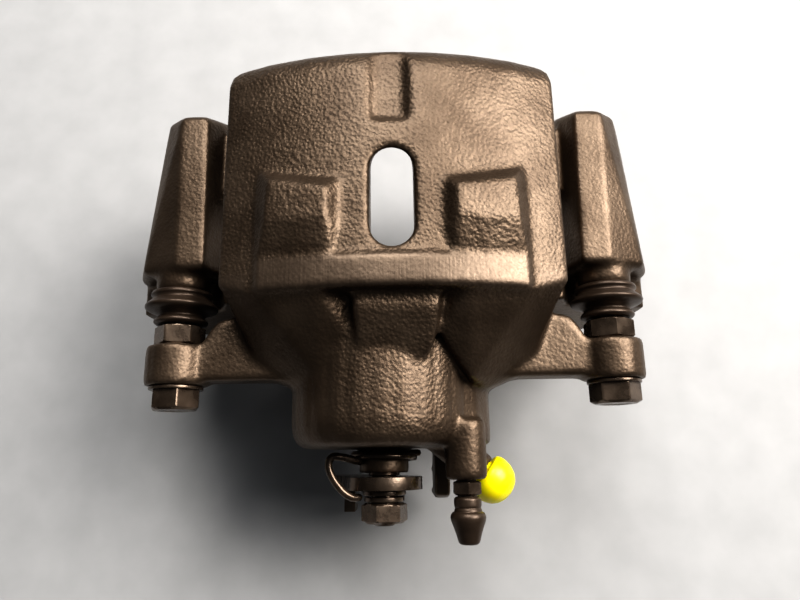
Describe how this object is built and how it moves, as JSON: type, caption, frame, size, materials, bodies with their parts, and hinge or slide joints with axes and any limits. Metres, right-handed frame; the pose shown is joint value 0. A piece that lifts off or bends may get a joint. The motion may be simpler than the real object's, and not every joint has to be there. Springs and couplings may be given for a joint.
{
  "type": "brake caliper",
  "caption": "Floating single-piston disc-brake caliper on its mounting bracket, with slide pins, rubber boots, bleed screw and a parking-brake lever on the cylinder's closed end.",
  "frame": {"origin": "on the bracket's knuckle face, midway between the two bolt holes. The piston bore's axis runs 40 mm above it, and the disc's middle plane is 27.5 mm outboard of it", "axes": "+Y outboard along the slide pins and the bore, +Z away from the wheel's axis, +X along the line of the two bolt holes"},
  "size_m": [0.177, 0.1541, 0.1],
  "materials": {
    "cast_paint": "semi-gloss dark paint over rough cast iron",
    "dark_steel": "semi-gloss dark paint over machined steel",
    "plated_steel": "zinc-plated, satin",
    "spring_steel": "oiled spring steel",
    "ball_steel": "polished",
    "bronze": "sintered bronze, satin",
    "rubber": "satin black rubber",
    "yellow_plastic": "bright yellow moulded plastic"
  },
  "bodies": {
    "bracket": {"mounting_bracket": "cast_paint"},
    "caliper": {"caliper_body": "cast_paint", "slide_pin_left": "dark_steel", "slide_pin_right": "dark_steel", "pin_bolt_left": "dark_steel", "pin_bolt_right": "dark_steel", "pin_boot_left": "rubber", "pin_boot_right": "rubber", "pin_bush": "rubber", "piston_seal": "rubber", "piston_boot": "rubber", "boot_retaining_ring": "spring_steel", "spring_cup": "plated_steel", "cup_circlip": "spring_steel", "adjuster_spring": "spring_steel", "anti_turn_pin_1": "spring_steel", "anti_turn_pin_2": "spring_steel", "shaft_bush": "bronze", "shaft_seal": "rubber", "return_spring": "dark_steel"},
    "piston": {"piston": "plated_steel", "adjuster_nut": "plated_steel", "adjuster_bearing": "spring_steel", "clutch_spring": "spring_steel", "piston_circlip": "spring_steel"},
    "push_rod": {"push_rod": "plated_steel"},
    "ball_set": {"ball_cage": "bronze", "ramp_ball_1": "ball_steel", "ramp_ball_2": "ball_steel", "ramp_ball_3": "ball_steel"},
    "lever": {"lever_shaft": "dark_steel", "parking_lever": "dark_steel", "lever_washer": "dark_steel", "lever_spring_washer": "dark_steel", "lever_nut": "dark_steel"},
    "bleed_screw": {"bleed_screw": "dark_steel"},
    "bleed_cap": {"bleed_cap": "rubber"},
    "port_plug": {"port_plug": "yellow_plastic"}
  },
  "joints": [
    {"name": "float_slide", "type": "slide", "parent": "bracket", "child": "caliper", "axis": [0, 1, 0], "range_m": [-0.012, 0.0035], "deforming": ["pin_boot_left", "pin_boot_right"]},
    {"name": "piston_slide", "type": "slide", "parent": "caliper", "child": "piston", "axis": [0, 1, 0], "range_m": [0, 0.015], "deforming": ["piston_boot"]},
    {"name": "lever_turn", "type": "hinge", "parent": "caliper", "child": "lever", "pos_m": [-0.004, -0.0555, 0.04], "axis": [0, -1, 0], "range_deg": [0, 25], "deforming": ["return_spring"]},
    {"name": "rod_slide", "type": "slide", "parent": "caliper", "child": "push_rod", "axis": [0, 1, 0], "range_m": [0, 0.0015], "deforming": ["adjuster_spring"]},
    {"name": "ball_roll", "type": "hinge", "parent": "caliper", "child": "ball_set", "pos_m": [-0.004, -0.0348, 0.04], "axis": [0, -1, 0], "range_deg": [0, 12.6]},
    {"name": "bleed_screw_turn", "type": "hinge", "parent": "caliper", "child": "bleed_screw", "pos_m": [0.0214, -0.0545, 0.054], "axis": [0, -1, 0], "range_deg": [0, 270]},
    {"name": "bleed_cap_pull", "type": "slide", "parent": "bleed_screw", "child": "bleed_cap", "axis": [0, -1, 0], "range_m": [0, 0.015]},
    {"name": "port_plug_pull", "type": "slide", "parent": "caliper", "child": "port_plug", "axis": [0.766, -0.6428, 0], "range_m": [0, 0.014]}
  ],
  "couplings": [
    {"joint": "rod_slide", "follows": "lever_turn", "m_per_rad": 0.0034},
    {"joint": "ball_roll", "follows": "lever_turn", "ratio": 0.5}
  ]
}
